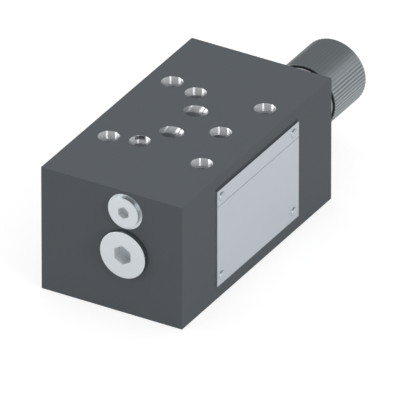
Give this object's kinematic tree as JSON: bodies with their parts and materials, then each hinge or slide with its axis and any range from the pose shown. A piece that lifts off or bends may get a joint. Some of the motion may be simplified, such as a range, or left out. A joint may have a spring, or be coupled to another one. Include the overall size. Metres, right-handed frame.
{
  "type": "hydraulic sandwich valve",
  "caption": "Sandwich-plate pressure reducing valve: a ported block clamped between two valve faces, with a spool, a spring and a serrated rotary adjusting knob.",
  "frame": {"origin": "centre of the lower mounting face", "axes": "+Z out of the upper mounting face, +Y along the spool towards the knob, +X towards the side with the data plate"},
  "size_m": [0.0711, 0.1829, 0.06],
  "materials": {
    "housing": "satin",
    "plated_steel": "satin",
    "hard_steel": "polished",
    "spring_steel": "satin",
    "dark_steel": "satin",
    "knob": "satin",
    "plate": "satin",
    "brass": "satin",
    "rubber": "matte"
  },
  "bodies": {
    "block": {"housing": "housing", "adjuster_sleeve": "plated_steel", "adjuster_sleeve_seal": "rubber", "compression_spring": "spring_steel", "bore_plug": "plated_steel", "bore_plug_seal": "rubber", "gauge_port_plug": "plated_steel", "gauge_port_seal": "plated_steel", "control_orifice": "brass", "nameplate": "plate", "nameplate_rivets": "plate", "port_o_ring_p": "rubber", "port_o_ring_a": "rubber", "port_o_ring_b": "rubber", "port_o_ring_t": "rubber", "port_o_ring_t1": "rubber"},
    "spool_set": {"spool": "hard_steel", "spool_spring_plate": "hard_steel"},
    "spring_seat": {"adjuster_spring_seat": "hard_steel"},
    "knob": {"rotary_knob": "knob", "knob_set_screws": "dark_steel"},
    "spindle": {"adjusting_spindle": "plated_steel", "spindle_o_ring": "rubber"}
  },
  "joints": [
    {"name": "knob_turn", "type": "hinge", "parent": "block", "child": "knob", "pos_m": [0.007, 0.1, 0.03], "axis": [0, -1, 0], "range_deg": [0, 1440]},
    {"name": "spindle_feed", "type": "slide", "parent": "knob", "child": "spindle", "axis": [0, -1, 0], "range_m": [0, 0.006]},
    {"name": "spring_seat_feed", "type": "slide", "parent": "block", "child": "spring_seat", "axis": [0, -1, 0], "range_m": [0, 0.006]},
    {"name": "spool_stroke", "type": "slide", "parent": "block", "child": "spool_set", "axis": [0, 1, 0], "range_m": [0, 0.0035], "stiffness_N_per_m": 2000, "deforming": ["compression_spring"]}
  ],
  "couplings": [
    {"joint": "spindle_feed", "follows": "knob_turn", "m_per_rad": 0.00023873},
    {"joint": "spring_seat_feed", "follows": "knob_turn", "m_per_rad": 0.00023873}
  ]
}
